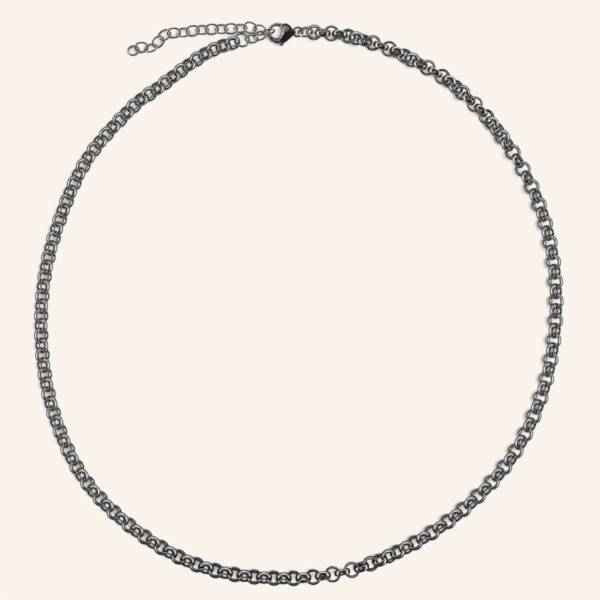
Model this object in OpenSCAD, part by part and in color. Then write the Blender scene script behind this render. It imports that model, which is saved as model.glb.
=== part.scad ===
// Rolo chain necklace with an extension chain and a lever clasp, laid out as one open loop.
// Millimetres. Z is up and the chain rests on z = 0; the clasp lies on the +Y side of the loop.

/* [Main chain] */
// Outside diameter of a round link
link_width = 5; // [4.8:0.1:5.2]
// Width of the band that a link is turned from
link_band = 1.75; // [1.6:0.05:1.8]
// Wall of a link, from its hole to its rim
link_wall = 0.8; // [0.7:0.05:0.85]
// Height of the dome on the outside of the band
link_dome = 0.25; // [0.15:0.05:0.35]
// Height of the dome on the inside of the band
link_inner_dome = 0.2; // [0.1:0.05:0.25]
// Slack from one link to the next
link_play = 0.36; // [0.3:0.02:0.42]
// Links that lie pushed together before the clasp
bunched_links = 28; // [0:2:40]
// Pitch of those links, as a share of the free pitch
bunched_share = 0.87; // [0.86:0.01:1]

/* [Extension chain] */
// Length of an oval link
oval_length = 4.4; // [4.2:0.1:4.6]
// Width of an oval link
oval_width = 3.95; // [3.8:0.05:4.1]
// Wire of an oval link
oval_wire = 0.6; // [0.5:0.05:0.65]
// Slack from one oval link to the next
oval_play = 0.27; // [0.2:0.01:0.35]
// Oval links of the free tail, after the four at the clasp
tail_links = 13; // [10:1:13]

/* [Rings] */
// Outside diameter of the jump ring at the start of the chain
jump_ring_width = 5.2; // [5:0.1:5.4]
// Wire of that jump ring
jump_ring_wire = 0.78; // [0.7:0.02:0.84]
// Outside diameter of the ring that holds the clasp
clasp_ring_width = 4.9; // [4.7:0.1:5.1]
// Wire of the clasp's ring
clasp_ring_wire = 0.9; // [0.8:0.05:0.95]
// Outside diameter of the ring at the tail's end
end_ring_width = 4; // [3.8:0.1:4.4]
// Wire of the end ring
end_ring_wire = 0.65; // [0.6:0.05:0.75]

/* [Clasp] */
// Radius of the hook's outer edge
hook_radius = 3.2; // [3.1:0.05:3.4]
// Thickness of the hook
hook_thick = 1.5; // [1.4:0.05:1.6]
// Radius of the opening inside the hook
opening_radius = 1.8; // [1.7:0.05:1.85]
// Thickness of the clasp's body in its middle
body_thick = 2.5; // [2.4:0.05:2.7]
// Thickness of the body at its edge
body_edge = 1.75; // [1.65:0.05:1.9]
// From the middle of the hook to the middle of the eye
eye_reach = 6.15; // [6:0.05:6.5]
// Outside diameter of the eye
eye_width = 3.5; // [3.3:0.05:3.7]
// Wire of the eye
eye_wire = 0.7; // [0.6:0.05:0.75]
// Tilt of the clasp as it lies, degrees
clasp_tilt = 14; // [8:1:18]

/* [Lever and rivet] */
// Thickness of the lever
lever_thick = 1; // [0.9:0.05:1.05]
// Clearance on each side of the lever, and at its tip
lever_gap = 0.1; // [0.08:0.01:0.12]
// Radius of the thumb nub on the lever
nub_radius = 0.68; // [0.6:0.02:0.75]
// Radius of the rivet's pin
pin_radius = 0.45; // [0.4:0.02:0.5]
// Running fit of the lever on the pin, radial
pin_fit = 0.05; // [0.03:0.01:0.08]
// Radius of the rivet's heads
head_radius = 0.82; // [0.75:0.01:0.9]
// Turn of the lever, 0 is shut
lever_turn = 0; // [0:1:22]

/* [Hidden] */
$fn = 64;
steel = "lightslategray";
dark_steel = "dimgray";
bright_steel = "silver";

// The route of the main chain as it lies: round points from the jump ring down the left side,
// along the bottom and up the right side. The jump ring and the clasp's ring are its two ends.
JUMP_RING_AT = [-17.4, 80.7];
LOOP_POINTS = [
    [-28.5, 76.5], [-43, 66], [-51, 60], [-64.5, 44.5], [-73, 26], [-78, 6.5], [-78.5, -14.5],
    [-74.5, -35], [-65, -54.5], [-49, -70], [-29.5, -80.5], [-7.5, -84], [14, -82], [34, -74],
    [51.5, -62], [65.5, -46.5], [74.5, -27.5], [78.4, -7.5], [77.9, 13], [72.5, 33], [61.5, 52],
    [46.5, 67.5], [28.5, 77.5], [14, 82]];
// How the chain rolls about its route: share of the links, and degrees.
LOOP_ROLL = [
    [0, 55], [0.03, 45], [0.465, 45], [0.491, 28], [0.51, 0], [0.529, -28], [0.555, -45],
    [0.79, -45], [0.82, -60], [0.85, -30], [1, 318]];
// The tail's route after its first link, x and y, and the lean of each of its links.
TAIL_POINTS = [
    [-16.8, 84.4], [-19, 84.3], [-26, 84.1], [-31, 83.8], [-35.5, 83.1], [-40.4, 82.7],
    [-42, 81.2], [-45.4, 78.3], [-48.3, 78.5], [-51.5, 77.2]];
TAIL_LEAN = [-26, 38, -35, 31, -35, 31, -35, 34, -41, 27, -36, 42, -38, 27];
TAIL_LIFT = [[0, 0.3], [1, 0.1], [2, 0]];

// The pieces held together at the clasp, each placed from the one before it:
// [step heading, step rise, slack of the step, heading, slope, lean of the piece].
JUMP_RING_LIES = [0, -8, -23];
JUMP_RING_RISE = 1.95;
HELD = [
    [6, -2, 0.39, -1, -5, 55],
    [22, -5, 0.44, 21, 2, -37],
    [25, 7, 0.44, 8, -3, 73],
    [168, -2, 0.49, 149, -17, 21],
    [165.5, -6, 0.22, 161, -2, -26]];
// The hook is placed from the link that holds it, and the clasp's ring from the eye.
HOOK_STEP = [-6.8, 0.82];
CLASP_HEADING = 1.5;
CLASP_RING_STEP = [-1, 8, 0.24];
CLASP_RING_LIES = [9, 3, -44];
held_links = len(HELD) - 1;

// The main chain is made in stretches, end to end, each a node.
chain_stretches = 6;

function stretch_name(i) = str("main_chain_", i);
function oval_name(i) = str("extension_link_", i < 10 ? "0" : "", i);

// A link's section: the outer and the inner arc of the domed band.
link_radius = link_width / 2;
link_hole = link_radius - link_wall;
function dome_radius(width, dome) = (pow(width / 2, 2) + dome * dome) / (2 * dome);
outer_arc = dome_radius(link_band, link_dome);
inner_arc = dome_radius(link_band, link_inner_dome);
link_pitch = 2 * sqrt(pow(link_hole + link_inner_dome, 2) - pow(link_band / 2, 2)) - link_play;

// How high the middle of a link lies when it leans on its rim or on its corner.
function link_height(lean) =
    let (s = abs(sin(lean)), c = abs(cos(lean)))
    outer_arc * c < link_band / 2
        ? (link_radius - outer_arc) * s + outer_arc
        : (link_radius - link_dome) * s + link_band / 2 * c;
function ring_height(width, wire, lean) = (width - wire) / 2 * abs(sin(lean)) + wire / 2;

// A smooth curve through points: cubic pieces, measured along their length.
function cubic(a, b, c, d, t) =
    0.5 * (2 * b + (c - a) * t + (2 * a - 5 * b + 4 * c - d) * t * t
    + (3 * b - a - 3 * c + d) * t * t * t);
function with_ends(p) = concat([2 * p[0] - p[1]], p, [2 * p[len(p) - 1] - p[len(p) - 2]]);
function curve(p, steps = 12) =
    let (q = with_ends(p))
    concat([for (i = [1 : len(p) - 1], k = [0 : steps - 1])
        cubic(q[i - 1], q[i], q[i + 1], q[i + 2], k / steps)], [p[len(p) - 1]]);
function distances(p) = [
    for (i = 0, s = 0; i < len(p); i = i + 1, s = i < len(p) ? s + norm(p[i] - p[i - 1]) : s) s];
function by_distance(p, s, axis) = [for (i = [0 : len(p) - 1]) [s[i], p[i][axis]]];
function heading_of(v) = atan2(v[1], v[0]);

// Where a piece lies: its middle, then heading, slope and lean.
module lay(at, lies) {
    translate(at) rotate([0, 0, lies[0]]) rotate([0, -lies[1], 0]) rotate([lies[2], 0, 0])
        children();
}
function step(heading, rise, reach) =
    reach * [cos(heading) * cos(rise), sin(heading) * cos(rise), sin(rise)];

// The held pieces: the reach of a step is from inner end to inner end, less its slack.
jump_ring_hole = jump_ring_width / 2 - jump_ring_wire;
oval_hole = oval_length / 2 - oval_wire;
jump_ring_at = concat(JUMP_RING_AT, [JUMP_RING_RISE]);
function held_at(i) =
    i < 0 ? jump_ring_at
    : held_at(i - 1)
        + step(HELD[i][0], HELD[i][1], (i == 0 ? jump_ring_hole : oval_hole) + oval_hole - HELD[i][2]);
function held_lies(i) = [HELD[i][3], HELD[i][4], HELD[i][5]];

// The clasp's own frame: x towards the eye, the middle of the hook at 0. The body's faces are
// two large spheres about body_middle, and its edge lies body_low below the hook's middle.
opening_at = [-0.4, 0.3];
rivet_at = [2.5, 1.35];
nub_at = [1.12, -3.6];
eye_at = [eye_reach, 0.2];
body_low = 3;
function turned(v) =
    let (x = v[0], y = v[1] * cos(clasp_tilt), z = v[1] * sin(clasp_tilt))
    [x * cos(CLASP_HEADING) - y * sin(CLASP_HEADING),
     x * sin(CLASP_HEADING) + y * cos(CLASP_HEADING), z];
body_arc = dome_radius(2 * body_low, (body_thick - body_edge) / 2);
body_middle = [2.3, -0.2];
clasp_height = body_arc - (body_arc - body_thick / 2) * cos(clasp_tilt)
    - body_middle[1] * sin(clasp_tilt);
clasp_step = step(HOOK_STEP[0], 0, oval_hole + opening_radius - opening_at[0] - HOOK_STEP[1]);
clasp_at = [held_at(2)[0] + clasp_step[0], held_at(2)[1] + clasp_step[1], clasp_height];
eye_hole = eye_width / 2 - eye_wire;
clasp_ring_hole = clasp_ring_width / 2 - clasp_ring_wire;
clasp_ring_at = clasp_at + turned(eye_at)
    + step(CLASP_RING_STEP[0], CLASP_RING_STEP[1], eye_hole + clasp_ring_hole - CLASP_RING_STEP[2]);

// The main chain's links: an even number, so that the chain's ends both turn the same side up.
loop_curve = curve(concat(
    [JUMP_RING_AT], LOOP_POINTS, [[clasp_ring_at[0], clasp_ring_at[1]]]));
loop_distances = distances(loop_curve);
loop_length = loop_distances[len(loop_distances) - 1];
loop_x = by_distance(loop_curve, loop_distances, 0);
loop_y = by_distance(loop_curve, loop_distances, 1);
bunched_pitch = bunched_share * link_pitch;
bunched_length = bunched_links * bunched_pitch;
free_steps = 2 * ceil(((loop_length - bunched_length) / link_pitch - 1) / 2) + 1;
free_pitch = (loop_length - bunched_length) / free_steps;
loop_steps = free_steps + bunched_links;
loop_links = loop_steps - 1;
function loop_way(k) =
    k < free_steps ? k * free_pitch : free_steps * free_pitch + (k - free_steps) * bunched_pitch;
function loop_at(s) = [lookup(s, loop_x), lookup(s, loop_y)];
function loop_heading(s) =
    heading_of(loop_at(min(s + link_pitch / 2, loop_length)) - loop_at(max(s - link_pitch / 2, 0)));
function loop_roll(k) = lookup(k / loop_steps, LOOP_ROLL);

// The tail of the extension chain.
oval_pitch = 2 * oval_hole - oval_play;
tail_start = held_at(held_links);
tail_curve = curve(concat([[tail_start[0], tail_start[1]]], TAIL_POINTS));
tail_distances = distances(tail_curve);
tail_x = by_distance(tail_curve, tail_distances, 0);
tail_y = by_distance(tail_curve, tail_distances, 1);
function tail_at(s) = [lookup(s, tail_x), lookup(s, tail_y)];
function tail_heading(s) = heading_of(tail_at(s + oval_pitch / 2) - tail_at(max(s - oval_pitch / 2, 0)));
end_ring_hole = end_ring_width / 2 - end_ring_wire;
end_ring_way = (tail_links - 1) * oval_pitch + oval_hole + end_ring_hole - oval_play;

// One link of the main chain: a short band, domed outside and inside.
module round_link() {
    rotate_extrude()
        intersection() {
            translate([0, -link_band / 2]) square([link_radius, link_band]);
            translate([link_radius - outer_arc, 0]) circle(outer_arc);
            translate([link_hole + inner_arc, 0]) circle(inner_arc);
        }
}

module main_links(first, last) {
    color(steel)
        for (k = [first : last]) {
            s = loop_way(k);
            roll = loop_roll(k);
            height = max(link_height(roll), link_height(roll + 90));
            lay(concat(loop_at(s), [height]), [loop_heading(s), 0, k % 2 == 1 ? -roll : -roll - 90])
                round_link();
        }
}

function first_link(i) = floor((i - 1) * loop_links / chain_stretches) + 1;

module main_chain(i) {
    main_links(first_link(i), first_link(i + 1) - 1);
}

// A round ring of wire.
module wire_ring(width, wire) {
    rotate_extrude() translate([(width - wire) / 2, 0]) circle(wire / 2);
}

// An oval link of wire: two half rings and two straight sides.
module oval_link() {
    bend = (oval_width - oval_wire) / 2;
    straight = oval_length - oval_width;
    for (side = [-1, 1]) {
        translate([side * straight / 2, 0, 0]) rotate([0, 0, -90 * side])
            rotate_extrude(angle = 180) translate([bend, 0]) circle(oval_wire / 2);
        translate([-straight / 2, side * bend, 0]) rotate([0, 90, 0])
            cylinder(r = oval_wire / 2, h = straight);
    }
}

module extension_link(i) {
    tail = max(i - held_links - 1, 0);
    lean = TAIL_LEAN[tail];
    s = tail * oval_pitch;
    height = ring_height(oval_width, oval_wire, lean) + lookup(tail, TAIL_LIFT);
    color(steel)
        if (i <= held_links + 1) lay(held_at(i - 1), held_lies(i - 1)) oval_link();
        else lay(concat(tail_at(s), [height]), [tail_heading(s), 0, lean]) oval_link();
}

module jump_ring() {
    color(bright_steel) lay(jump_ring_at, JUMP_RING_LIES) wire_ring(jump_ring_width, jump_ring_wire);
}

module end_ring() {
    lean = TAIL_LEAN[tail_links];
    height = ring_height(end_ring_width, end_ring_wire, lean);
    color(bright_steel)
        lay(concat(tail_at(end_ring_way), [height]), [tail_heading(end_ring_way - oval_hole), 0, lean])
            wire_ring(end_ring_width, end_ring_wire);
}

module clasp_ring() {
    color(bright_steel)
        lay(clasp_ring_at, CLASP_RING_LIES) wire_ring(clasp_ring_width, clasp_ring_wire);
}

// The clasp's sizes, in its own frame. The lever fills the hook's ring between two directions.
slot_thick = lever_thick + 2 * lever_gap;
tip_direction = -118.5;
root_direction = 48;
boss_radius = 0.95;
arm_radius = 0.85;
arm_at = [1.2, -2.15];
slot_direction = -56;
hole_dome = 0.3;
hook_rim = hook_thick / 2;
lever_rim = lever_thick / 2;
seat_height = body_thick / 2 - 0.18;
head_height = body_thick / 2 + 0.04;

function toward(angle) = [cos(angle), sin(angle)];

// Two discs and the straight sides that touch both.
module bar(a, a_radius, b, b_radius) {
    direction = heading_of(b - a);
    spread = acos((a_radius - b_radius) / norm(b - a));
    translate(a) circle(a_radius);
    translate(b) circle(b_radius);
    polygon([
        a + a_radius * toward(direction + spread), a + a_radius * toward(direction - spread),
        b + b_radius * toward(direction - spread), b + b_radius * toward(direction + spread)]);
}

// A sector of the plane from one direction to another, less than half a turn.
module sector(from, to) {
    reach = 3 * hook_radius;
    polygon([[0, 0], reach * toward(from), reach * toward((from + to) / 2), reach * toward(to)]);
}

// The hook's ring with a round rim and an opening with domed lips.
module hook_ring(thick, rim) {
    lip_arc = dome_radius(thick, hole_dome);
    difference() {
        rotate_extrude() {
            translate([0, -thick / 2]) square([hook_radius - rim, thick]);
            intersection() {
                translate([hook_radius - rim, 0]) circle(rim);
                translate([0, -thick / 2]) square([hook_radius, thick]);
            }
        }
        translate(opening_at) rotate_extrude() difference() {
            translate([0, -thick]) square([opening_radius + hole_dome, 2 * thick]);
            translate([opening_radius + lip_arc, 0]) circle(lip_arc);
        }
    }
}

module upright(height) {
    translate([0, 0, -height / 2]) linear_extrude(height) children();
}

// The body's outline: two rounds and a narrow end, cut hollow along the hook's opening.
module body_outline() {
    difference() {
        union() {
            bar([2.35, 1.15], 1.75, [4.2, 0.1], 0.85);
            bar([1.65, -1.35], 1.65, [4.2, 0.1], 0.85);
            bar([2.35, 1.15], 1.75, [1.65, -1.35], 1.65);
        }
        translate([-1.9, 0.55]) circle(3);
    }
}

module clasp_shell() {
    intersection() {
        upright(body_thick) body_outline();
        for_both_faces() sphere(body_arc);
    }
}

// The part of space that two large spheres share, one for each face of the body.
module for_both_faces() {
    intersection() {
        translate(concat(body_middle, [body_thick / 2 - body_arc])) children();
        translate(concat(body_middle, [body_arc - body_thick / 2])) children();
    }
}

module lever_slot() {
    boss = boss_radius + lever_gap;
    upright(slot_thick) {
        translate(rivet_at) circle(boss);
        polygon([
            rivet_at + boss * toward(180), 0.8 * toward(tip_direction), 5 * toward(tip_direction),
            rivet_at + 7 * toward(slot_direction), rivet_at + boss * toward(slot_direction + 90)]);
    }
}

module in_clasp() {
    lay(clasp_at, [CLASP_HEADING, 0, clasp_tilt]) children();
}

module clasp_body() {
    gap_angle = lever_gap / 2 / (hook_radius - hook_rim) * 180 / PI;
    color(dark_steel) in_clasp() difference() {
        union() {
            clasp_shell();
            intersection() {
                hook_ring(hook_thick, hook_rim);
                upright(hook_thick) {
                    sector(root_direction, 144);
                    sector(144, 360 + tip_direction - gap_angle);
                }
            }
            upright(eye_wire * 1.7) bar([3.8, 0.1], 0.9, eye_at - [1.3, 0], 0.5);
            translate(eye_at) wire_ring(eye_width, eye_wire);
        }
        lever_slot();
        translate(eye_at) cylinder(r = eye_hole, h = body_thick, center = true);
        translate(rivet_at) cylinder(r = pin_radius + 0.02, h = 2 * body_thick, center = true);
        for (side = [0, 1]) mirror([0, 0, side])
            translate(concat(rivet_at, [seat_height])) cylinder(r = head_radius + 0.05, h = body_thick);
    }
}

module clasp_lever() {
    gap_angle = lever_gap / 2 / (hook_radius - lever_rim) * 180 / PI;
    color(dark_steel) in_clasp()
        translate(rivet_at) rotate([0, 0, lever_turn]) translate(-rivet_at)
        difference() {
            union() {
                intersection() {
                    hook_ring(lever_thick, lever_rim);
                    upright(lever_thick) sector(tip_direction + gap_angle, -58);
                }
                upright(lever_thick) bar(rivet_at, boss_radius, arm_at, arm_radius);
                translate(nub_at) sphere(nub_radius);
                upright(lever_thick) bar(nub_at, 0.45, arm_at, 0.7);
            }
            translate(rivet_at) cylinder(r = pin_radius + pin_fit, h = 2 * lever_thick, center = true);
        }
}

module clasp_rivet() {
    head = head_height - seat_height;
    color(bright_steel) in_clasp() translate(rivet_at) difference() {
        union() {
            cylinder(r = pin_radius, h = 2 * head_height, center = true);
            for (side = [0, 1]) mirror([0, 0, side])
                translate([0, 0, seat_height]) cylinder(r = head_radius, h = head);
        }
        for (side = [-1, 1])
            translate([0, 0, side * (head_height + 0.1)]) sphere(0.3);
    }
}

for (i = [1 : chain_stretches])
    main_chain(i);
jump_ring();
for (i = [1 : held_links + tail_links])
    extension_link(i);
end_ring();
clasp_body();
clasp_lever();
clasp_rivet();
clasp_ring();
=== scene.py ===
import math

import bpy
import numpy as np
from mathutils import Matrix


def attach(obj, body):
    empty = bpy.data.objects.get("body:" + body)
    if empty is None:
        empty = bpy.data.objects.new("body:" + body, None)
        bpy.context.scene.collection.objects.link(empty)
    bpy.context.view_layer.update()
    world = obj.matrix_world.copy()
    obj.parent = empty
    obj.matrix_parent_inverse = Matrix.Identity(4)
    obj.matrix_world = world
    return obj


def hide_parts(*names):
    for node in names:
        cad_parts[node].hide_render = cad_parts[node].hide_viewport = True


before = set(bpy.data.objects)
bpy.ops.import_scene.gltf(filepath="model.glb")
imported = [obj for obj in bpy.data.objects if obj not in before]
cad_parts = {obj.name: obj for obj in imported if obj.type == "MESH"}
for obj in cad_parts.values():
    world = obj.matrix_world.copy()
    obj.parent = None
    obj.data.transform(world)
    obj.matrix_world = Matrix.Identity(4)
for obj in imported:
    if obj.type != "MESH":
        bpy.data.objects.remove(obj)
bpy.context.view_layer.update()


# turning: heading about z, then slope about y, then lean about x, as matrices, one for each row
def turning(heading, slope, lean):
    h, s, a = np.broadcast_arrays(*(np.radians(np.asarray(v, float)) for v in (heading, slope, lean)))
    zero, one = np.zeros(h.shape), np.ones(h.shape)
    aboutZ = np.array([[np.cos(h), -np.sin(h), zero], [np.sin(h), np.cos(h), zero], [zero, zero, one]])
    aboutY = np.array([[np.cos(s), zero, -np.sin(s)], [zero, one, zero], [np.sin(s), zero, np.cos(s)]])
    aboutX = np.array([[one, zero, zero], [zero, np.cos(a), -np.sin(a)], [zero, np.sin(a), np.cos(a)]])
    aboutZ, aboutY, aboutX = (np.moveaxis(m, (0, 1), (-2, -1)) for m in (aboutZ, aboutY, aboutX))
    return aboutZ @ aboutY @ aboutX


# laid: each point turned and moved to its place; one copy of the points for each row of places
def laid(points, places, turns):
    return np.einsum("...ij,mj->...mi", turns, points) + np.asarray(places, float)[..., None, :]


# throughPoints: the control points whose smooth closed surface passes through the given grid;
# each closed row is divided by the weights 1/6, 4/6, 1/6 of a cubic spline in its Fourier series
def throughPoints(grid):
    for axis in (0, 1):
        count = grid.shape[axis]
        weights = (4 + 2 * np.cos(2 * np.pi * np.arange(count) / count)) / 6
        weights = weights.reshape([count if a == axis else 1 for a in range(3)])
        grid = np.fft.ifft(np.fft.fft(grid, axis=axis) / weights, axis=axis).real
    return grid


# revolved: a closed profile of radius and height, turned about z in equal steps
def revolved(profile, around):
    turn = 2 * np.pi * np.arange(around) / around
    return np.stack([
        np.outer(np.cos(turn), profile[:, 0]), np.outer(np.sin(turn), profile[:, 0]),
        np.tile(profile[:, 1], (around, 1))], axis=2)


# gridFaces: the four corners of every cell of a grid that closes both ways
def gridFaces(rows, columns):
    u, v = np.meshgrid(np.arange(rows), np.arange(columns), indexing="ij")
    nextU, nextV = (u + 1) % rows, (v + 1) % columns
    corners = [u * columns + v, nextU * columns + v, nextU * columns + nextV, u * columns + nextV]
    return np.stack(corners, axis=2).reshape(-1, 4)


# cubicSteps: the cubic from each b to its c, leaving b parallel to a-c and reaching c parallel to b-d
def cubicSteps(a, b, c, d, steps):
    a, b, c, d = (x[:, None] for x in (a, b, c, d))
    t = (np.arange(steps) / steps)[None, :, None]
    bend = (2 * a - 5 * b + 4 * c - d) * t * t + (3 * b - a - 3 * c + d) * t ** 3
    return (.5 * (2 * b + (c - a) * t + bend)).reshape(-1, 2)


# curveThrough: cubic pieces through the points, open at both ends, with the distance along them
def curveThrough(points, steps=12):
    p = np.asarray(points, float)
    q = np.vstack([2 * p[0] - p[1], p, 2 * p[-1] - p[-2]])
    path = np.vstack([cubicSteps(q[:-3], q[1:-2], q[2:-1], q[3:], steps), p[-1]])
    way = np.concatenate([[0], np.cumsum(np.linalg.norm(np.diff(path, axis=0), axis=1))])
    return path, way


# onCurve: the points at given distances along a curve
def onCurve(curve, s):
    path, way = curve
    return np.stack([np.interp(s, way, path[:, 0]), np.interp(s, way, path[:, 1])], axis=-1)


# headingOn: the direction from half a pitch before to half a pitch after each distance
def headingOn(curve, s, pitch, last=None):
    ahead = onCurve(curve, np.minimum(s + pitch / 2, curve[1][-1] if last is None else last))
    step = ahead - onCurve(curve, np.maximum(s - pitch / 2, 0))
    return np.degrees(np.arctan2(step[..., 1], step[..., 0]))


# stepTo: the way from one middle to the next, a heading about z and a rise above level
def stepTo(heading, rise, reach):
    h, r = math.radians(heading), math.radians(rise)
    return reach * np.array([math.cos(h) * math.cos(r), math.sin(h) * math.cos(r), math.sin(r)])


# meshPiece: a smooth-shaded mesh that rides a body and stands for one CAD node
def meshPiece(name, points, faces, material, body, node):
    mesh = bpy.data.meshes.new(name)
    mesh.from_pydata(points.reshape(-1, 3).tolist(), [], [list(face) for face in faces])
    mesh.polygons.foreach_set("use_smooth", np.ones(len(mesh.polygons), bool))
    mesh.materials.append(material)
    mesh.update()
    piece = bpy.data.objects.new(name, mesh)
    bpy.context.scene.collection.objects.link(piece)
    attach(piece, body)
    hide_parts(node)
    return piece


# softened: a low cage made smooth by subdivision, the same on screen and in the render
def softened(piece, levels=2):
    smooth = piece.modifiers.new("smooth", "SUBSURF")
    smooth.levels = smooth.render_levels = levels
    return piece


# nodeOf: a shader node whose inputs or own settings are given by name
def nodeOf(tree, kind, **settings):
    node = tree.nodes.new(kind)
    for name, value in settings.items():
        if name in node.inputs:
            node.inputs[name].default_value = value
        else:
            setattr(node, name, value)
    return node


dentDepth = .00004  # of the polishing dents in every steel, metres


# steelFinish: polished steel, its tone and gloss broken by soft noise, with fine polishing dents
def steelFinish(name, look):
    material = bpy.data.materials.new(name)
    material.use_nodes = True
    tree = material.node_tree
    shader = tree.nodes["Principled BSDF"]
    shader.inputs["Metallic"].default_value = 1
    place = nodeOf(tree, "ShaderNodeTexCoord")

    def noise(scale, detail):
        cloud = nodeOf(tree, "ShaderNodeTexNoise", Scale=scale, Detail=detail, Roughness=.55)
        tree.links.new(place.outputs["Object"], cloud.inputs["Vector"])
        return cloud.outputs["Fac"]

    tone = nodeOf(tree, "ShaderNodeValToRGB")
    for mark, at, colour in zip(tone.color_ramp.elements, (.35, .65), (look["dark"], look["light"])):
        mark.position, mark.color = at, (*colour, 1)
    tree.links.new(noise(look["toneScale"], 3), tone.inputs["Fac"])
    tree.links.new(tone.outputs["Color"], shader.inputs["Base Color"])

    gloss = nodeOf(tree, "ShaderNodeMapRange")
    gloss.inputs["From Min"].default_value, gloss.inputs["From Max"].default_value = .3, .7
    gloss.inputs["To Min"].default_value, gloss.inputs["To Max"].default_value = look["roughness"]
    tree.links.new(noise(look["glossScale"], 4), gloss.inputs["Value"])
    tree.links.new(gloss.outputs["Result"], shader.inputs["Roughness"])

    dents = nodeOf(tree, "ShaderNodeBump", Strength=look["dents"], Distance=dentDepth)
    tree.links.new(noise(look["dentScale"], 2), dents.inputs["Height"])
    tree.links.new(dents.outputs["Normal"], shader.inputs["Normal"])
    return material


chainSteel = steelFinish("chain_steel", dict(
    dark=(.37, .37, .38), light=(.48, .475, .47), toneScale=420, glossScale=2600, roughness=(.09, .2),
    dents=.25, dentScale=1500))
wireSteel = steelFinish("wire_steel", dict(
    dark=(.43, .43, .44), light=(.54, .535, .53), toneScale=500, glossScale=3000, roughness=(.08, .18),
    dents=.25, dentScale=1800))
# painted light: the same polished steel as the chain's, its tone set lighter for the jump ring and the clasp's
# ring so that they look brighter
ringSteelPaintedBrighter = steelFinish("ring_steel", dict(
    dark=(.56, .56, .57), light=(.68, .675, .67), toneScale=500, glossScale=3000, roughness=(.08, .18),
    dents=.2, dentScale=1800))
claspSteel = steelFinish("clasp_steel", dict(
    dark=(.42, .42, .43), light=(.5, .5, .5), toneScale=600, glossScale=3500, roughness=(.1, .2),
    dents=.12, dentScale=2200))
# painted highlight: the pin's steel set bright and bluish, standing in for the glint on its dished head
rivetSteelPaintedGlint = steelFinish("rivet_steel", dict(
    dark=(.72, .78, .82), light=(.82, .87, .9), toneScale=900, glossScale=4000, roughness=(.3, .42),
    dents=.2, dentScale=2600))
print("finishes: five steels")

# the main chain's link, the way the chain lies, and how the leaning of its links turns along it
mainChain = dict(
    width=.0050, band=.00175, wall=.0008, dome=.00025, innerDome=.0002, play=.00036,
    bunchedLinks=28, bunchedShare=.87,
    start=(-.0174, .0807),
    route=[
        (-.0285, .0765), (-.043, .066), (-.051, .060), (-.0645, .0445), (-.073, .026), (-.078, .0065),
        (-.0785, -.0145), (-.0745, -.035), (-.065, -.0545), (-.049, -.070), (-.0295, -.0805),
        (-.0075, -.084), (.014, -.082), (.034, -.074), (.0515, -.062), (.0655, -.0465), (.0745, -.0275),
        (.0784, -.0075), (.0779, .013), (.0725, .033), (.0615, .052), (.0465, .0675), (.0285, .0775),
        (.014, .082)],
    end=(.00208215, .08316559),
    rollAt=[0, .03, .465, .491, .51, .529, .555, .79, .82, .85, 1],
    roll=[55, 45, 45, 28, 0, -28, -45, -45, -60, -30, 318],
    stretches=6)


# domeRadius: the radius of an arc by its width and its rise
def domeRadius(width, dome):
    return ((width / 2) ** 2 + dome ** 2) / (2 * dome)


# bandProfile: eight points round the band's section, counterclockwise from the crown outside;
# the shoulders lie on the two domes at a share of the half width, the rims at the half width
def bandProfile(link, shoulder=.76):
    half = link["band"] / 2
    outer, inner = domeRadius(link["band"], link["dome"]), domeRadius(link["band"], link["innerDome"])
    z = shoulder * half
    outside, inside = link["width"] / 2, link["width"] / 2 - link["wall"]
    outerShoulder = outside - outer + math.sqrt(outer ** 2 - z ** 2)
    innerShoulder = inside + inner - math.sqrt(inner ** 2 - z ** 2)
    rim = (outside - link["dome"] + inside + link["innerDome"]) / 2
    return np.array([
        (outside, 0), (outerShoulder, z), (rim, half), (innerShoulder, z),
        (inside, 0), (innerShoulder, -z), (rim, -half), (outerShoulder, -z)])


# linkHeight: how high a link's middle lies when it leans on its domed band or on its corner
def linkHeight(link, lean):
    s, c = np.abs(np.sin(np.radians(lean))), np.abs(np.cos(np.radians(lean)))
    outer = domeRadius(link["band"], link["dome"])
    onDome = (link["width"] / 2 - outer) * s + outer
    onCorner = (link["width"] / 2 - link["dome"]) * s + link["band"] / 2 * c
    return np.where(outer * c < link["band"] / 2, onDome, onCorner)


# chainPlaces: middle and turning of every link; the even links stand a quarter turn from the odd ones
def chainPlaces(link):
    curve = curveThrough([link["start"], *link["route"], link["end"]])
    length = curve[1][-1]
    hole = link["width"] / 2 - link["wall"]
    pitch = 2 * math.sqrt((hole + link["innerDome"]) ** 2 - (link["band"] / 2) ** 2) - link["play"]
    tight = link["bunchedShare"] * pitch
    freeLength = length - link["bunchedLinks"] * tight
    freeSteps = 2 * math.ceil((freeLength / pitch - 1) / 2) + 1
    steps = freeSteps + link["bunchedLinks"]
    k = np.arange(1, steps)
    s = np.where(k < freeSteps, k * freeLength / freeSteps, freeLength + (k - freeSteps) * tight)
    roll = np.interp(k / steps, link["rollAt"], link["roll"])
    height = np.maximum(linkHeight(link, roll), linkHeight(link, roll + 90))
    middle = np.column_stack([onCurve(curve, s), height])
    lean = np.where(k % 2 == 1, -roll, -roll - 90)
    return middle, turning(headingOn(curve, s, pitch), 0, lean)


linkCage = throughPoints(revolved(bandProfile(mainChain), 8))
linkFaces = gridFaces(*linkCage.shape[:2])
linkPoints = linkCage.reshape(-1, 3)
linkMiddles, linkTurns = chainPlaces(mainChain)


# chainPiece: one stretch, the cage of one link copied to each of its places
def chainPiece(i):
    first, last = (len(linkMiddles) * k // mainChain["stretches"] for k in (i - 1, i))
    points = laid(linkPoints, linkMiddles[first:last], linkTurns[first:last])
    faces = linkFaces[None] + np.arange(last - first)[:, None, None] * len(linkPoints)
    name, node = "chain_stretch_%d" % i, "main_chain_%d" % i
    return softened(meshPiece(name, points, faces.reshape(-1, 4), chainSteel, "necklace", node))


for i in range(1, mainChain["stretches"] + 1):
    chainPiece(i)
print("main chain: %d links" % len(linkMiddles))

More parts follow.
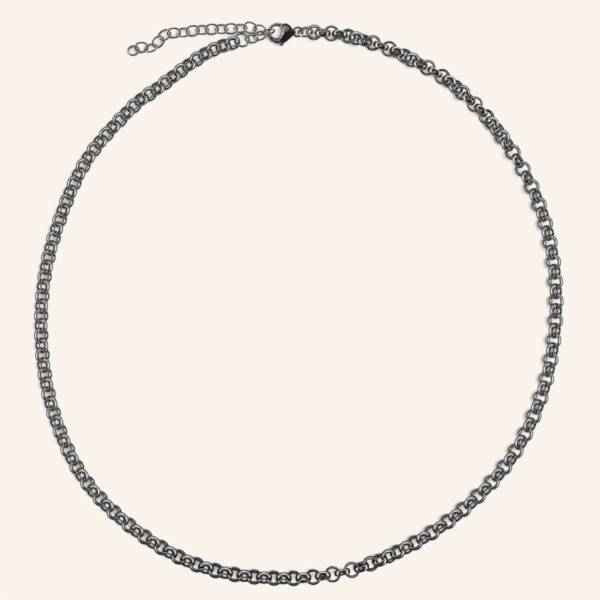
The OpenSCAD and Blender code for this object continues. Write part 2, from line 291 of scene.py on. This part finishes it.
# the extension chain's oval link and the way it lies
extension = dict(
    length=.0044, width=.00395, wire=.0006, play=.00027,
    # the four links at the clasp and the first of the tail:
    # step heading, step rise, slack, then heading, slope and lean of the link
    held=[
        (6, -2, .00039, -1, -5, 55), (22, -5, .00044, 21, 2, -37), (25, 7, .00044, 8, -3, 73),
        (168, -2, .00049, 149, -17, 21), (165.5, -6, .00022, 161, -2, -26)],
    route=[
        (-.0168, .0844), (-.019, .0843), (-.026, .0841), (-.031, .0838), (-.0355, .0831),
        (-.0404, .0827), (-.042, .0812), (-.0454, .0783), (-.0483, .0785), (-.0515, .0772)],
    lean=[-26, 38, -35, 31, -35, 31, -35, 34, -41, 27, -36, 42, -38],
    lift=[.0003, .0001, 0])
# the three wire rings; the seam is where on the ring its two ends meet, in degrees
jumpRing = dict(width=.0052, wire=.00078, at=(-.0174, .0807, .00195), lies=(0, -8, -23), seam=200)
endRing = dict(width=.0040, wire=.00065, lean=27, seam=150)
claspRing = dict(width=.0049, wire=.0009, at=(.00208215, .08316559, .0020001), lies=(9, 3, -44), seam=250)


# circlePoints: points in equal steps round a circle
def circlePoints(radius, count):
    turn = 2 * np.pi * np.arange(count) / count
    return radius * np.column_stack([np.cos(turn), np.sin(turn)])


# ovalGrid: a round wire carried round a circle that is pulled apart by the straight sides;
# the pull reaches its full share where the cosine times the sharpness passes one
def ovalGrid(length, width, wire, around=12, section=6, sharpness=2.2):
    profile = circlePoints(wire / 2, section) + [(width - wire) / 2, 0]
    grid = revolved(profile, around)
    turn = 2 * np.pi * np.arange(around) / around
    stretch = np.clip(np.cos(turn) * sharpness, -1, 1) * (length - width) / 2
    grid[:, :, 0] += stretch[:, None]
    return grid


# ringGrid: a round wire carried round a circle, its section drawn in where the two ends meet;
# the turns are close together at the seam, on each side of it, and even over the rest
def ringGrid(ring, around=16, section=6, drawnIn=.86, seamTurn=.05, restTurn=.3):
    rest = np.linspace(restTurn, 2 * np.pi - restTurn, around - 3)
    turn = np.concatenate([[-seamTurn, 0, seamTurn], rest])[:, None] + math.radians(ring["seam"])
    pinch = np.ones((around, 1))
    pinch[1] = drawnIn
    wire = ring["wire"] / 2 * pinch[:, None] * circlePoints(1, section)[None]
    across = (ring["width"] - ring["wire"]) / 2 + wire[:, :, 0]
    return np.stack([across * np.cos(turn), across * np.sin(turn), wire[:, :, 1]], axis=2)


# wirePiece: a ring or an oval link laid in its place, its surface through the grid's points
def wirePiece(name, grid, at, lies, material, node):
    points = laid(throughPoints(grid).reshape(-1, 3), at, turning(*lies))
    faces = gridFaces(*grid.shape[:2])
    return softened(meshPiece(name, points, faces, material, "necklace", node))


# restingHeight: half of a wire ring's middle circle, leaned, and the wire's own half
def restingHeight(ring, lean):
    return (ring["width"] - ring["wire"]) / 2 * np.abs(np.sin(np.radians(lean))) + ring["wire"] / 2


# extensionPlaces: the held links step by step from the jump ring, the tail along its own curve,
# and the end ring one play short of the last link
def extensionPlaces(chain):
    hole = chain["length"] / 2 - chain["wire"]
    at, lies = [], []
    here, reach = np.array(jumpRing["at"]), jumpRing["width"] / 2 - jumpRing["wire"]
    for heading, rise, slack, *turn in chain["held"]:
        here = here + stepTo(heading, rise, reach + hole - slack)
        reach = hole
        at.append(here)
        lies.append(turn)
    curve = curveThrough([here[:2], *chain["route"]])
    pitch = 2 * hole - chain["play"]
    tail = np.arange(1, len(chain["lean"]))
    lean = np.array(chain["lean"])[tail]
    lift = np.interp(tail, [0, 1, 2], chain["lift"])
    at.extend(np.column_stack([onCurve(curve, tail * pitch), restingHeight(chain, lean) + lift]))
    heading = headingOn(curve, tail * pitch, pitch, 1)
    lies.extend(np.column_stack([heading, 0 * heading, lean]))
    ringHole = endRing["width"] / 2 - endRing["wire"]
    way = tail[-1] * pitch + hole + ringHole - chain["play"]
    endPlace = np.append(onCurve(curve, way), restingHeight(endRing, endRing["lean"]))
    return at, lies, endPlace, (float(headingOn(curve, way - hole, pitch, 1)), 0, endRing["lean"])


ovalAt, ovalLies, endAt, endLies = extensionPlaces(extension)
oval = ovalGrid(extension["length"], extension["width"], extension["wire"])
for i, (at, lies) in enumerate(zip(ovalAt, ovalLies), 1):
    wirePiece("oval_link_%02d" % i, oval, at, lies, wireSteel, "extension_link_%02d" % i)
for name, ring, at, lies, steel, slot, node in (
        ("start_ring", jumpRing, jumpRing["at"], jumpRing["lies"], ringSteelPaintedBrighter, "ring_steel", "jump_ring"),
        ("tail_ring", endRing, endAt, endLies, wireSteel, "wire_steel", "end_ring"),
        ("holding_ring", claspRing, claspRing["at"], claspRing["lies"], ringSteelPaintedBrighter, "ring_steel", "clasp_ring")):
    wirePiece(name, ringGrid(ring), at, lies, steel, node)
print("extension chain: %d oval links and three rings" % len(ovalAt))

# the clasp
clasp = dict(
    # from the oval link on the hook: step heading and slack, then how the clasp lies
    stepHeading=-6.8, slack=.00082, heading=1.5, tilt=14,
    # the body's crowned back that it lies on: thickness at the crown and at the edge, half width, middle in y
    bodyThick=.0025, bodyEdge=.00175, bodyLow=.003, bodyMiddle=-.0002,
    # in the clasp's own frame: the hook's middle at 0, x towards the eye, y across, z up
    hookRadius=.0032, hookThick=.0015, opening=(-.0004, .0003), openingRadius=.0018,
    # where the hook starts and ends and the gate takes over, in degrees, and how their ends draw in
    rootTurn=50, tipTurn=241.2, gateFrom=241.8, gateTo=303, endShare=.82, endRounding=.0002,
    # the body's edge round the two shells, and the raised sail on them, both anticlockwise
    shell=[
        (.00115, .00262), (.00215, .00292), (.0031, .00275), (.0039, .00215), (.0048, .00105), (.0053, .0006),
        (.0054, .0001), (.0051, -.0005), (.0043, -.0012), (.0035, -.0019), (.0028, -.0025), (.0021, -.00292),
        (.0013, -.003), (.0006, -.0028), (.0003, -.0024), (.0006, -.0015), (.0009, -.0006), (.0011, .0004),
        (.0010, .0014), (.0007, .0022)],
    shellMiddle=(.0026, .0002), shellEdge=.00078, shellCrown=.00092,
    sail=[
        (.0013, .0026), (.00215, .00278), (.0030, .0026), (.0038, .002), (.0045, .0012), (.0049, .0006),
        (.0047, 0), (.0040, -.0006), (.0031, -.0012), (.0022, -.00185), (.0013, -.00225), (.0006, -.0023),
        (.0007, -.0017), (.0011, -.0008), (.00135, .0002), (.0014, .0012), (.0012, .002)],
    sailMiddle=(.0025, .0009), sailEdge=.00082, sailInset=.0001,
    # shares of the outline: on the slot's face, round the edge with the share of its rise, on the crown
    faceShares=(.02, .5, .97), edgeRows=((1, .35), (.985, .75), (.95, 1)), crownShares=(.85, .7, .5, .3, .1),
    # the neck between the shells and the eye: two points with their radii, and its thickness
    neck=((.0043, .0001), .0007, (.0050, .0002), .0006, .0014),
    eye=(.00615, .0002), eyeWidth=.0035, eyeWire=.0007,
    # the gate: its arm from the rivet, its tab out to the thumb nub, each with its radii at both ends
    gateThick=.001, gap=.0001, rivet=(.0025, .00135), arm=(.0012, -.00215), armRadii=(.00095, .00085),
    tab=(.00115, -.0026), nub=(.0011, -.0034), tabRadii=(.00095, .00045), nubRadius=.0006,
    # the pin, and its dished head from the middle out: radius and depth under the head's top
    pinRadius=.00045, headRadius=.00082, headRise=.00003, headSeat=.00018, seatRounding=.00004,
    head=[
        (.00005, .00026), (.00022, .00025), (.00028, .00022), (.00034, .00016), (.0006, .00003), (.00068, 0),
        (.00074, .00002), (.00082, .0001)],
    voxel=.00006, castRounding=6, gateRounding=4)


# closedCurve: a smooth closed curve through the points
def closedCurve(points, steps=5):
    p = np.asarray(points, float)
    return cubicSteps(*(np.roll(p, shift, axis=0) for shift in (1, 0, -1, -2)), steps)


# capped: the points and faces of a grid that closes in its second direction, with a fan over each end row
def capped(grid):
    rows, columns = grid.shape[:2]
    here = np.arange(rows * columns).reshape(rows, columns)
    beside = np.roll(here, -1, axis=1)
    quads = np.stack([here[:-1], beside[:-1], beside[1:], here[1:]], axis=2).reshape(-1, 4)
    start = np.column_stack([np.full(columns, rows * columns), beside[0], here[0]])
    end = np.column_stack([here[-1], beside[-1], np.full(columns, rows * columns + 1)])
    points = np.vstack([grid.reshape(-1, 3), grid[0].mean(axis=0), grid[-1].mean(axis=0)])
    return points, [*quads.tolist(), *start.tolist(), *end.tolist()]


# pillow: an outline drawn in towards a middle, each row at its own share and height
def pillow(edge, middle, rows):
    shares, heights = np.array(rows).T
    flat = np.asarray(middle) + (edge - middle)[None] * shares[:, None, None]
    height = np.broadcast_to(heights[:, None, None], flat.shape[:2] + (1,))
    return capped(np.concatenate([flat, height], axis=2))


# hookGrid: a section between the hook's round edge and its opening, carried from one turn to another;
# the section is an ellipse a little squared, and draws in on a quarter circle so that both tips are round
def hookGrid(look, turnFrom, turnTo, thick, rows=40, section=20, squared=.9):
    turn = np.radians(np.linspace(turnFrom, turnTo, rows))
    x, y = look["opening"]
    along = x * np.cos(turn) + y * np.sin(turn)
    inner = along + np.sqrt(along ** 2 - x ** 2 - y ** 2 + look["openingRadius"] ** 2)
    middle, half = (look["hookRadius"] + inner) / 2, (look["hookRadius"] - inner) / 2
    fromEnd = np.minimum(turn - turn[0], turn[-1] - turn) * look["hookRadius"] / look["endRounding"]
    ends = look["endShare"] + (1 - look["endShare"]) * np.sqrt(1 - np.clip(1 - fromEnd, 0, 1) ** 2)
    across, up = (np.sign(v) * np.abs(v) ** squared for v in circlePoints(1, section).T)
    radius = middle[:, None] + (half * ends)[:, None] * across[None]
    height = (thick / 2 * ends)[:, None] * up[None]
    turn = turn[:, None]
    return capped(np.stack([radius * np.cos(turn), radius * np.sin(turn), height], axis=2))


# lathed: a profile of radius and height turned about an upright line through a point
def lathed(profile, at, around=32):
    r, z = np.array(profile).T
    turn = 2 * np.pi * np.arange(around) / around
    x, y = at[0] + np.outer(r, np.cos(turn)), at[1] + np.outer(r, np.sin(turn))
    return capped(np.stack([x, y, np.tile(z[:, None], (1, around))], axis=2))


# ball: a half circle lathed from just beside one pole to just beside the other
def ball(radius, at, rows=14, pole=.05):
    turn = np.linspace(pole, math.pi - pole, rows)
    return lathed(np.column_stack([radius * np.sin(turn), -radius * np.cos(turn)]), at)


# barBetween: a plate with round ends of two sizes, from one point to another, its rims drawn in
def barBetween(a, ra, b, rb, thick, soft=.3, steps=12):
    a, b = np.asarray(a, float), np.asarray(b, float)
    way = math.atan2(*(b - a)[::-1])
    spread = math.acos((ra - rb) / np.linalg.norm(b - a))
    far = np.linspace(way - spread, way + spread, steps)
    near = np.linspace(way + spread, way - spread + 2 * math.pi, steps)
    ends = ((b, rb, far), (a, ra, near))
    rim = np.vstack([p + r * np.column_stack([np.cos(t), np.sin(t)]) for p, r, t in ends])
    half, inset = thick / 2, soft * thick / (ra + rb)
    lower = [(1 - inset, -half), (1 - inset / 3, -half * .8), (1, -half * .4)]
    upper = [(share, -height) for share, height in lower[::-1]]
    return pillow(rim, (a + b) / 2, lower + upper)


# ringAt: a round wire ring, flat, about a point
def ringAt(width, wire, at, around=40, section=12):
    grid = revolved(circlePoints(wire / 2, section) + [(width - wire) / 2, 0], around) + [*at, 0]
    return grid.reshape(-1, 3), gridFaces(around, section).tolist()


# castPiece: closed surfaces that run into one another, made one skin of small voxels,
# and smoothed as a casting is
def castPiece(name, forms, body, node, rounding):
    faces, start = [], 0
    for formPoints, formFaces in forms:
        faces.extend([[i + start for i in face] for face in formFaces])
        start += len(formPoints)
    points = laid(np.vstack([formPoints for formPoints, formFaces in forms]), claspAt, claspTurn)
    piece = meshPiece(name, points, faces, claspSteel, body, node)
    skin = piece.modifiers.new("skin", "REMESH")
    skin.mode, skin.voxel_size, skin.use_smooth_shade = "VOXEL", clasp["voxel"], True
    soft = piece.modifiers.new("soft", "SMOOTH")
    soft.factor, soft.iterations = .5, rounding
    return piece


# shellRows: from the slot's face out to the edge, round it, and up to the middle of the crowned face;
# the crown falls off as a parabola and meets the edge at the last of the edge rows
def shellRows(side, inner, edge, crown):
    rim = clasp["edgeRows"][-1][0]
    rows = [(share, inner) for share in clasp["faceShares"]]
    rows += [(share, inner + (edge - inner) * rise) for share, rise in clasp["edgeRows"]]
    rows += [(share, edge + (crown - edge) * (1 - (share / rim) ** 2)) for share in clasp["crownShares"]]
    rows = [(share, side * height) for share, height in rows]
    return rows if side > 0 else rows[::-1]


# the clasp hangs on the third oval link and lies on its crowned back, tilted
bodyArc = domeRadius(2 * clasp["bodyLow"], (clasp["bodyThick"] - clasp["bodyEdge"]) / 2)
halfBody, halfGate = clasp["bodyThick"] / 2, clasp["gateThick"] / 2
halfSlot = halfGate + clasp["gap"]
claspLean = math.radians(clasp["tilt"])
holeReach = extension["length"] / 2 - extension["wire"] - clasp["slack"]
claspAt = ovalAt[2] + stepTo(clasp["stepHeading"], 0, holeReach + clasp["openingRadius"] - clasp["opening"][0])
claspAt[2] = bodyArc - (bodyArc - halfBody) * math.cos(claspLean) - clasp["bodyMiddle"] * math.sin(claspLean)
claspTurn = turning(clasp["heading"], 0, clasp["tilt"])

shellEdge, sailEdge = closedCurve(clasp["shell"]), closedCurve(clasp["sail"])
casting = []
for side in (1, -1):
    shellSide = shellRows(side, halfSlot, clasp["shellEdge"], clasp["shellCrown"])
    sailSide = shellRows(side, halfSlot + clasp["sailInset"], clasp["sailEdge"], halfBody)
    casting.append(pillow(shellEdge, clasp["shellMiddle"], shellSide))
    casting.append(pillow(sailEdge, clasp["sailMiddle"], sailSide))
casting.append(hookGrid(clasp, clasp["rootTurn"], clasp["tipTurn"], clasp["hookThick"]))
casting.append(barBetween(*clasp["neck"]))
casting.append(ringAt(clasp["eyeWidth"], clasp["eyeWire"], clasp["eye"]))
castPiece("clasp_casting", casting, "necklace", "clasp_body", clasp["castRounding"])

armStart, armEnd = clasp["armRadii"]
tabStart, tabEnd = clasp["tabRadii"]
gate = [
    barBetween(clasp["rivet"], armStart, clasp["arm"], armEnd, clasp["gateThick"]),
    hookGrid(clasp, clasp["gateFrom"], clasp["gateTo"], clasp["gateThick"]),
    barBetween(clasp["tab"], tabStart, clasp["nub"], tabEnd, clasp["gateThick"]),
    ball(clasp["nubRadius"], clasp["nub"])]
castPiece("clasp_gate", gate, "lever", "clasp_lever", clasp["gateRounding"])

seat = halfBody - clasp["headSeat"]
head = [(radius, halfBody + clasp["headRise"] - depth) for radius, depth in clasp["head"]]
head += [(clasp["headRadius"], seat), (clasp["pinRadius"], seat - clasp["seatRounding"])]
pinPoints, pinFaces = lathed([(radius, -height) for radius, height in head] + head[::-1], clasp["rivet"])
pinPoints = laid(pinPoints, claspAt, claspTurn)
softened(meshPiece("clasp_pin", pinPoints, pinFaces, rivetSteelPaintedGlint, "necklace", "clasp_rivet"), 1)
print("clasp: casting, gate and pin")

# the floor, the light and the camera
studio = dict(
    floorHalf=3.0, floorDrop=.00002, floorSeen=(.947, .896, .838),
    # the floor's shade by how open it lies, within a small reach, to light that comes from one side
    shadeReach=.0022, shadeFrom=(.5, .2, .83), shade=[(0, .06), (.3, .2), (.5, .5), (.72, 1), (1, 1)],
    # what the steel mirrors of the floor: a painted reflection, darker towards -Y as a dark card in front would
    # mirror, though no card stands there, up to the open floor
    floorInSteel=.38, floorAcross=[(-.12, .12), (-.085, .18), (-.06, 1), (.12, 1)],
    # the sky's light by height, from the horizon to overhead, and its share by direction, from -Y to +Y
    skyHeight=[(0, 2.2), (.28, 2.3), (.44, .9), (.58, .1), (.9, .05), (1, .05)],
    skyAcross=[(-1, .1), (-.85, .06), (-.62, .25), (-.3, .95), (.25, 1), (.55, .4), (.8, .6), (1, .9)],
    skyTint=(.97, 1, 1.04),
    # one softbox overhead, a little to -X and -Y: its middle, and its light by the cosine from there
    softboxAt=(-.2, -.1, .97), softbox=[(0, 0), (.9, 0), (.97, .4), (1, 1)])
view = dict(at=(-.0198, .0213, .46), sensor=36, lens=89.77, shift=(.110, -.110), near=.01)


# ramp: a smooth row of grey stops, each a position and a strength
def ramp(tree, source, stops):
    row = nodeOf(tree, "ShaderNodeValToRGB")
    row.color_ramp.interpolation = "EASE"
    marks = row.color_ramp.elements
    while len(marks) < len(stops):
        marks.new(.5)
    for mark, (place, strength) in zip(marks, stops):
        mark.position, mark.color = place, (strength, strength, strength, 1)
    tree.links.new(source, row.inputs["Fac"])
    return row.outputs["Color"]


# product: one colour times another, or times a fixed one
def product(tree, a, b):
    node = nodeOf(tree, "ShaderNodeVectorMath", operation="MULTIPLY")
    tree.links.new(a, node.inputs[0])
    if isinstance(b, tuple):
        node.inputs[1].default_value = b
    else:
        tree.links.new(b, node.inputs[1])
    return node.outputs[0]


# floorPiece: a wide plane that gives off its pale colour, shaded where the chain shuts it in;
# the steel mirrors it dimmer than the camera sees it
def floorPiece(look):
    half, drop = look["floorHalf"], -look["floorDrop"]
    corners = [(x * half, y * half, drop) for x, y in ((-1, -1), (1, -1), (1, 1), (-1, 1))]
    mesh = bpy.data.meshes.new("floor")
    mesh.from_pydata(corners, [], [(0, 1, 2, 3)])
    floor = bpy.data.objects.new("floor", mesh)
    bpy.context.scene.collection.objects.link(floor)
    material = bpy.data.materials.new("pale_floor")
    material.use_nodes = True
    tree = material.node_tree
    tree.nodes.clear()
    near = nodeOf(tree, "ShaderNodeAmbientOcclusion", samples=12, Distance=look["shadeReach"])
    toward = nodeOf(tree, "ShaderNodeCombineXYZ", **dict(zip("XYZ", look["shadeFrom"])))
    tree.links.new(toward.outputs[0], near.inputs["Normal"])
    seen = product(tree, ramp(tree, near.outputs["AO"], look["shade"]), look["floorSeen"])
    glow = nodeOf(tree, "ShaderNodeEmission")
    tree.links.new(seen, glow.inputs["Color"])
    place, split = nodeOf(tree, "ShaderNodeTexCoord"), nodeOf(tree, "ShaderNodeSeparateXYZ")
    tree.links.new(place.outputs["Object"], split.inputs[0])
    first, last = look["floorAcross"][0][0], look["floorAcross"][-1][0]
    across = nodeOf(tree, "ShaderNodeMapRange")
    across.inputs["From Min"].default_value, across.inputs["From Max"].default_value = first, last
    tree.links.new(split.outputs["Y"], across.inputs["Value"])
    stops = [((y - first) / (last - first), share) for y, share in look["floorAcross"]]
    # painted reflection: the floor as the steel mirrors it, darkened towards -Y
    dimmed = product(tree, seen, ramp(tree, across.outputs["Result"], stops))
    mirrored = nodeOf(tree, "ShaderNodeEmission", Strength=look["floorInSteel"])
    tree.links.new(dimmed, mirrored.inputs["Color"])
    path, choose = nodeOf(tree, "ShaderNodeLightPath"), nodeOf(tree, "ShaderNodeMixShader")
    tree.links.new(path.outputs["Is Camera Ray"], choose.inputs[0])
    tree.links.new(mirrored.outputs[0], choose.inputs[1])
    tree.links.new(glow.outputs[0], choose.inputs[2])
    out = nodeOf(tree, "ShaderNodeOutputMaterial")
    tree.links.new(choose.outputs[0], out.inputs[0])
    mesh.materials.append(material)
    return floor


# studioSky: strong light low at the sides and towards +Y, dark above but for the softbox, weak towards -Y;
# the light by height times the share by direction, plus the softbox, times the tint
def studioSky(look):
    world = bpy.data.worlds.new("studio")
    bpy.context.scene.world = world
    world.use_nodes = True
    tree = world.node_tree
    tree.nodes.clear()
    place = nodeOf(tree, "ShaderNodeTexCoord")
    split = nodeOf(tree, "ShaderNodeSeparateXYZ")
    tree.links.new(place.outputs["Generated"], split.inputs[0])
    across = nodeOf(tree, "ShaderNodeMapRange")
    across.inputs["From Min"].default_value = -1
    tree.links.new(split.outputs["Y"], across.inputs["Value"])
    byHeight = ramp(tree, split.outputs["Z"], look["skyHeight"])
    byWay = ramp(tree, across.outputs["Result"], [((y + 1) / 2, share) for y, share in look["skyAcross"]])
    toBox = nodeOf(tree, "ShaderNodeVectorMath", operation="DOT_PRODUCT")
    toBox.inputs[1].default_value = look["softboxAt"]
    tree.links.new(place.outputs["Generated"], toBox.inputs[0])
    added = nodeOf(tree, "ShaderNodeVectorMath", operation="ADD")
    tree.links.new(product(tree, byHeight, byWay), added.inputs[0])
    tree.links.new(ramp(tree, toBox.outputs["Value"], look["softbox"]), added.inputs[1])
    plain = nodeOf(tree, "ShaderNodeBackground", Color=(*look["floorSeen"], 1))
    lit = nodeOf(tree, "ShaderNodeBackground")
    tree.links.new(product(tree, added.outputs[0], look["skyTint"]), lit.inputs["Color"])
    path = nodeOf(tree, "ShaderNodeLightPath")
    choose = nodeOf(tree, "ShaderNodeMixShader")
    out = nodeOf(tree, "ShaderNodeOutputWorld")
    tree.links.new(path.outputs["Is Camera Ray"], choose.inputs[0])
    tree.links.new(lit.outputs[0], choose.inputs[1])
    tree.links.new(plain.outputs[0], choose.inputs[2])
    tree.links.new(choose.outputs[0], out.inputs[0])


floorPiece(studio)
studioSky(studio)

camera = bpy.data.objects.new("camera", bpy.data.cameras.new("camera"))
bpy.context.scene.collection.objects.link(camera)
camera.location = view["at"]
camera.data.sensor_width, camera.data.lens = view["sensor"], view["lens"]
camera.data.shift_x, camera.data.shift_y = view["shift"]
camera.data.clip_start = view["near"]
bpy.context.scene.camera = camera
bpy.context.scene.view_settings.view_transform = "Standard"
print("studio: floor, light and camera")
